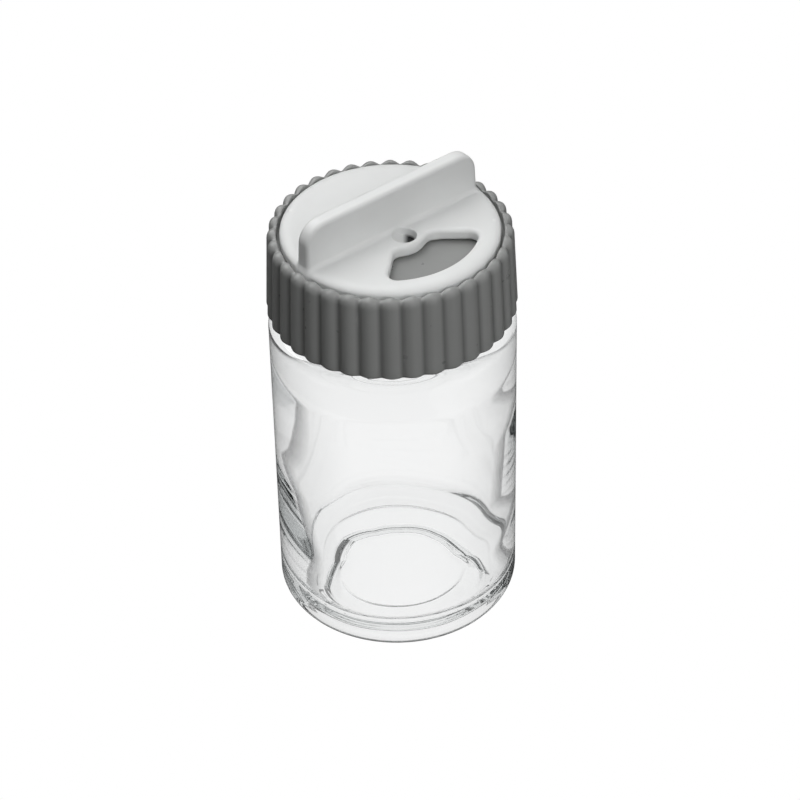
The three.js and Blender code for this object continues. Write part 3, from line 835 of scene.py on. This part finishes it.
def net_faces(inside, number):
    """A quad across each edge of the grid that leaves the surface, by the cells' numbers."""
    faces = []
    for axis in range(3):
        u, v = (axis + 1) % 3, (axis + 2) % 3
        lower = np.delete(inside, -1, axis)
        crossing = lower != np.delete(inside, 0, axis)
        place = np.argwhere(crossing)
        quad = []
        for du, dv in ((1, 1), (0, 1), (0, 0), (1, 0)):
            cell_of = place.copy()
            cell_of[:, u] -= du
            cell_of[:, v] -= dv
            quad.append(number[tuple(cell_of.T)])
        quad = np.stack(quad, 1)
        leaves = lower[crossing]
        faces += quad[leaves].tolist() + quad[~leaves][:, ::-1].tolist()
    return faces


def net_of(distance, low, high, cell):
    """Points, faces and normals of the closed surface where a distance is zero."""
    axes = [np.arange(a - 1.5 * cell, b + 2.5 * cell, cell) for a, b in zip(low, high)]
    inside = distance(*np.meshgrid(*axes, indexing="ij", sparse=True)) < 0
    count = sum(
        inside[i:inside.shape[0] - 1 + i, j:inside.shape[1] - 1 + j, k:inside.shape[2] - 1 + k]
        .astype(np.uint8)
        for i in (0, 1) for j in (0, 1) for k in (0, 1)
    )
    mixed = (count > 0) & (count < 8)
    number = np.full(mixed.shape, -1)
    number[mixed] = np.arange(mixed.sum())
    points = np.stack([axis[i] + cell / 2 for axis, i in zip(axes, np.nonzero(mixed))], 1)

    for _ in range(NET_STEPS):
        here, slope = slope_at(distance, points)
        move = here[:, None] * slope / np.maximum((slope**2).sum(1), 0.25)[:, None]
        points = points - np.clip(move, -cell / 2, cell / 2)
    normals = slope_at(distance, points)[1]
    normals /= np.linalg.norm(normals, axis=1)[:, None]
    return points, net_faces(inside, number), normals


def shaker_dial(material):
    reach = DIAL_RADIUS
    low = (-reach, -reach, HUB_LOW - DIAL_LOW)
    high = (reach, reach, DIAL_HIGH - DIAL_LOW)
    points, faces, normals = net_of(dial_distance, low, high, DIAL_CELL)
    points = points + np.array([0, 0, DIAL_LOW])
    return piece_of(
        "white_dial", points, faces, material, "dial_body", "shaker_dial", normals
    )


# Materials

class Nodes:
    """A material, with short ways to add nodes to it."""

    def __init__(self, name):
        self.material = bpy.data.materials.new(name)
        self.material.use_nodes = True
        self.tree = self.material.node_tree
        self.shader = self.tree.nodes["Principled BSDF"]
        self.place = self.add("ShaderNodeTexCoord").outputs["Object"]

    def join(self, value, socket):
        """Links a node's output to a socket, or sets the socket to a number or colour."""
        if isinstance(value, bpy.types.NodeSocket):
            self.tree.links.new(value, socket)
        else:
            socket.default_value = value

    def add(self, kind, inputs=(), **settings):
        node = self.tree.nodes.new(kind)
        for key, value in settings.items():
            setattr(node, key, value)
        for key, value in dict(inputs).items():
            self.join(value, node.inputs[key])
        return node

    def maths(self, operation, *values):
        return self.add("ShaderNodeMath", dict(enumerate(values)), operation=operation).outputs[0]

    def geometry(self, name):
        return self.add("ShaderNodeNewGeometry").outputs[name]

    def along(self, axis):
        return self.add("ShaderNodeSeparateXYZ", {0: self.place}).outputs[axis]

    def reach(self):
        """Distance from the shaker's axis."""
        flat = self.add("ShaderNodeVectorMath", {0: self.place, 1: (1, 1, 0)}, operation="MULTIPLY")
        length = self.add("ShaderNodeVectorMath", {0: flat.outputs[0]}, operation="LENGTH")
        return length.outputs["Value"]

    def noise(self, scale, detail=3):
        inputs = {"Vector": self.place, "Scale": scale, "Detail": detail}
        return self.add("ShaderNodeTexNoise", inputs).outputs["Fac"]

    def spread(self, value, from_low, from_high, to_low, to_high):
        inputs = {
            "Value": value,
            "From Min": from_low,
            "From Max": from_high,
            "To Min": to_low,
            "To Max": to_high,
        }
        return self.add("ShaderNodeMapRange", inputs).outputs["Result"]

    def fade(self, length, start, end):
        """From 0 to 1 between two lengths in millimetres."""
        return self.spread(length, start * MM, end * MM, 0, 1)

    def mix(self, share, a, b):
        inputs = {0: share, 6: a, 7: b}
        return self.add("ShaderNodeMix", inputs, data_type="RGBA").outputs[2]

    def bump(self, height, strength, distance, normal=None):
        inputs = {"Height": height, "Strength": strength, "Distance": distance}
        if normal is not None:
            inputs["Normal"] = normal
        return self.add("ShaderNodeBump", inputs).outputs["Normal"]

    def feed(self, **inputs):
        for key, value in inputs.items():
            self.join(value, self.shader.inputs[key.replace("_", " ")])
        return self.material


def shaded(colour, share):
    return (*(channel * share for channel in colour), 1)


def groove_painted_shade(n):
    """Share of painted shade, from 0 on the ribs to 1 at the bottoms of the grooves between them.
    """
    angle = n.maths("ARCTAN2", n.along("Y"), n.along("X"))
    ribs = n.maths("MULTIPLY", angle, CAP_RIBS / TURN)
    shifted = n.maths("ADD", ribs, 0.5 - CAP_RIB_PHASE * CAP_RIBS / TURN)
    off = n.maths("ABSOLUTE", n.maths("SUBTRACT", n.maths("FRACT", shifted), 0.5))
    outside = n.fade(n.reach(), *GROOVE_PAINTED_SHADE_RADII)
    return n.maths("MULTIPLY", n.spread(off, *GROOVE_PAINTED_SHADE_SPREAD), outside)


def hub_painted_shade(n):
    """One on the web in the dial's hub, which is painted nearly black as shade, and nought above it
    and round it.
    """
    top = DIAL_LOW + HUB_WEB_RISE + HUB_WEB + HUB_WEB_ROUND
    edge = HUB_RADIUS - HUB_WALL
    low = n.fade(n.along("Z"), top + HUB_PAINTED_SHADE_FADE, top)
    return n.maths("MULTIPLY", low, n.fade(n.reach(), edge + HUB_WEB, edge))


def plastic(name, colour, worn, roughness, painted_shade, painted_shade_share, painted_shade_brightness):
    """Moulded plastic: a fine eroded grain, mottling, paler rubbed edges, and painted shade where a
    mask puts it.
    """
    n = Nodes(name)
    mottle = n.spread(n.noise(MOTTLE_SCALE), *MOTTLE_SPREAD)
    rubbed = n.spread(n.geometry("Pointiness"), *RUBBED_SPREAD)
    base = n.mix(mottle, shaded(colour, 1), shaded(colour, MOTTLE_SHADE))
    base = n.mix(rubbed, base, shaded(worn, 1))
    # painted shade: darkens the masked places towards a share of the colour
    base = n.mix(n.maths("MULTIPLY", painted_shade(n), painted_shade_share), base, shaded(colour, painted_shade_brightness))
    smoothest, roughest = roughness - PLASTIC_WEAR_CHANGE, roughness + PLASTIC_WEAR_CHANGE
    rough = n.spread(n.noise(PLASTIC_WEAR_SCALE, 4), *PLASTIC_WEAR_RANGE, smoothest, roughest)
    grain = n.bump(n.noise(GRAIN_SCALE, 2), GRAIN_STRENGTH, GRAIN_DEPTH)
    ripple = n.noise(PLASTIC_RIPPLE_SCALE, 2)
    ripple = n.bump(ripple, PLASTIC_RIPPLE_STRENGTH, PLASTIC_RIPPLE_DEPTH, grain)
    return n.feed(Base_Color=base, Roughness=rough, Normal=ripple, IOR=PLASTIC_IOR)


def glass():
    """Clear glass that tints what passes through it, with painted shade where a ray grazes it and
    painted dark lines where a ray grazes the bore.
    """
    n = Nodes("clear glass")
    facing = n.add("ShaderNodeLayerWeight", {"Blend": 0.5}).outputs["Facing"]
    bore = n.maths("MULTIPLY", n.fade(n.reach(), *BORE_RADII), n.fade(n.along("Z"), *BORE_HEIGHTS))
    from_glass = n.maths("MULTIPLY", bore, n.geometry("Backfacing"))
    painted_near_line = n.maths("MULTIPLY", from_glass, n.spread(facing, *PAINTED_NEAR_LINE_SPREAD))
    painted_far_line = n.maths("MULTIPLY", bore, n.spread(facing, *PAINTED_FAR_LINE_SPREAD))
    # painted shade: darker where a ray grazes the glass, and thin dark lines where a ray grazes the
    # bore
    tint_and_painted_shade = n.mix(n.spread(facing, *PAINTED_GRAZING_SHADE_SPREAD), GLASS_CLEAR, GLASS_PAINTED_GRAZING_SHADE)
    tint_and_painted_shade = n.mix(painted_near_line, tint_and_painted_shade, GLASS_PAINTED_NEAR_LINE)
    tint_and_painted_shade = n.mix(painted_far_line, tint_and_painted_shade, GLASS_PAINTED_FAR_LINE)
    rough = n.spread(n.noise(GLASS_WEAR_SCALE), *GLASS_WEAR_SPREAD)
    ripple = n.bump(n.noise(GLASS_RIPPLE_SCALE, 1), GLASS_RIPPLE_STRENGTH, GLASS_RIPPLE_DEPTH)
    body = {"Color": GLASS_BODY, "Density": GLASS_DENSITY}
    absorb = n.add("ShaderNodeVolumeAbsorption", body).outputs[0]
    n.join(absorb, n.tree.nodes["Material Output"].inputs["Volume"])
    n.feed(Transmission_Weight=1.0, IOR=GLASS_IOR)
    return n.feed(Base_Color=tint_and_painted_shade, Roughness=rough, Normal=ripple)


def foam():
    n = Nodes("liner foam")
    cells = n.noise(FOAM_SCALE, 2)
    base = n.mix(cells, shaded(FOAM, 1), shaded(FOAM, FOAM_SHADE))
    pitted = n.bump(cells, FOAM_STRENGTH, FOAM_DEPTH)
    return n.feed(Base_Color=base, Roughness=FOAM_ROUGHNESS, Normal=pitted)


# Studio

def camera():
    turn = Matrix.Rotation(CAMERA_TURN, 3, "Z")
    sine, cosine = math.sin(CAMERA_YAW), math.cos(CAMERA_YAW)
    level, fall = math.cos(CAMERA_PITCH), math.sin(CAMERA_PITCH)
    forward = Vector((sine * level, cosine * level, -fall))
    right = Vector((cosine, -sine, 0))
    up = right.cross(forward)
    side = right * math.cos(CAMERA_ROLL) + up * math.sin(CAMERA_ROLL)
    top = up * math.cos(CAMERA_ROLL) - right * math.sin(CAMERA_ROLL)
    axes = Matrix((turn @ side, turn @ top, turn @ -forward)).transposed()
    data = bpy.data.cameras.new("camera")
    data.lens = CAMERA_LENS
    data.sensor_width = CAMERA_SENSOR
    data.clip_start = CAMERA_NEAR * MM
    data.clip_end = CAMERA_FAR * MM
    made = bpy.data.objects.new("camera", data)
    bpy.context.scene.collection.objects.link(made)
    place = turn @ Vector((0, -CAMERA_REACH, CAMERA_HEIGHT)) * MM
    made.matrix_world = Matrix.Translation(place) @ axes.to_4x4()
    bpy.context.scene.camera = made


def softbox(name, way, size, power, in_gloss):
    """Square light that faces the shaker and isn't seen through the glass."""
    data = bpy.data.lights.new(name, "AREA")
    data.energy = power
    data.size = size
    light = bpy.data.objects.new(name, data)
    bpy.context.scene.collection.objects.link(light)
    right, near, up = way
    way = (Matrix.Rotation(CAMERA_TURN, 3, "Z") @ Vector((right, -near, up))).normalized()
    light.location = (cad_low + cad_high) / 2 + way * LIGHT_DISTANCE
    light.rotation_mode = "QUATERNION"
    light.rotation_quaternion = way.to_track_quat("Z", "Y")
    light.visible_transmission = False
    light.visible_glossy = in_gloss


def glowing_sheet(name, corners, glow, seen=True):
    """Flat sheet that shows in the glass, and to the camera if seen, and that lights nothing."""
    mesh = bpy.data.meshes.new(name)
    mesh.from_pydata(corners, [], [(0, 1, 2, 3)])
    n = Nodes(name)
    n.feed(Base_Color=(0, 0, 0, 1), Roughness=1.0, Specular_IOR_Level=0.0)
    mesh.materials.append(n.feed(Emission_Color=(1, 1, 1, 1), Emission_Strength=glow))
    made = bpy.data.objects.new(name, mesh)
    bpy.context.scene.collection.objects.link(made)
    made.visible_camera = seen
    made.visible_diffuse = False
    made.visible_glossy = False
    return made


def floor():
    half = FLOOR_HALF
    corners = [(-half, -half, 0), (half, -half, 0), (half, half, 0), (-half, half, 0)]
    glowing_sheet("floor", corners, WHITE_GLOW).location.z = -FLOOR_DROP


def surround():
    """White sheet across from the camera, and grey ones on the other sides, for the glass alone."""
    turn = Matrix.Rotation(CAMERA_TURN, 3, "Z")
    far_middle, far_right = (SHEET_BACK_LEFT, SHEET_REACH), (SHEET_RIGHT, SHEET_REACH)
    near_left, near_right = (SHEET_LEFT, -SHEET_REACH), (SHEET_RIGHT, -SHEET_REACH)
    for name, start, end, glow in (
        ("backdrop", far_middle, far_right, WHITE_GLOW),
        ("left_sheet", near_left, far_middle, LEFT_GLOW),
        ("right_sheet", far_right, near_right, RIGHT_GLOW),
        ("front_sheet", near_right, near_left, FRONT_GLOW),
    ):
        corners = [(*start, 0), (*end, 0), (*end, SHEET_HEIGHT), (*start, SHEET_HEIGHT)]
        placed = [turn @ Vector(corner) for corner in corners]
        glowing_sheet(name, placed, glow, name == "backdrop")


def gradient(tree, way, along, spread):
    """Brightness of the sky that changes along a direction. spread is from, from, to and to."""
    dot = tree.nodes.new("ShaderNodeVectorMath")
    dot.operation = "DOT_PRODUCT"
    dot.inputs[1].default_value = along
    fade = tree.nodes.new("ShaderNodeMapRange")
    tree.links.new(way, dot.inputs[0])
    tree.links.new(dot.outputs["Value"], fade.inputs["Value"])
    for key, value in zip(("From Min", "From Max", "To Min", "To Max"), spread):
        fade.inputs[key].default_value = value
    return fade.outputs["Result"]


def together(tree, operation, a, b):
    node = tree.nodes.new("ShaderNodeMath")
    node.operation = operation
    tree.links.new(a, node.inputs[0])
    tree.links.new(b, node.inputs[1])
    return node.outputs[0]


def sky():
    """Sky that is dim, the more so to the left and low down, but white to the camera."""
    world = bpy.data.worlds.new("studio")
    world.use_nodes = True
    tree = world.node_tree
    way = tree.nodes.new("ShaderNodeTexCoord").outputs["Generated"]
    upward = gradient(tree, way, (0, 0, 1), SKY_UPWARD)
    leftward = gradient(tree, way, LEFT_WAY, SKY_LEFTWARD)
    dim = together(tree, "MULTIPLY", upward, leftward)
    to_camera = tree.nodes.new("ShaderNodeLightPath").outputs["Is Camera Ray"]
    colour = together(tree, "MAXIMUM", dim, to_camera)
    tree.links.new(colour, tree.nodes["Background"].inputs["Color"])
    bpy.context.scene.world = world


def studio():
    floor()
    surround()
    sky()
    for name, settings in LIGHTS.items():
        softbox(name, *settings)
    bpy.context.scene.view_settings.view_transform = "Standard"
    paths = bpy.context.scene.cycles
    paths.max_bounces = paths.glossy_bounces = paths.transmission_bounces = GLASS_BOUNCES


camera()
studio()
glass_jar(glass())
sealing_liner(foam())
# The cap's grooves and the hub's web take painted shade
screw_cap(plastic(
    "grey plastic", GREY, GREY_WORN,
    roughness=0.34, painted_shade=groove_painted_shade, painted_shade_share=0.6, painted_shade_brightness=0.3,
))
shaker_dial(plastic(
    "white plastic", WHITE, WHITE_WORN,
    roughness=0.45, painted_shade=hub_painted_shade, painted_shade_share=0.97, painted_shade_brightness=0.02,
))
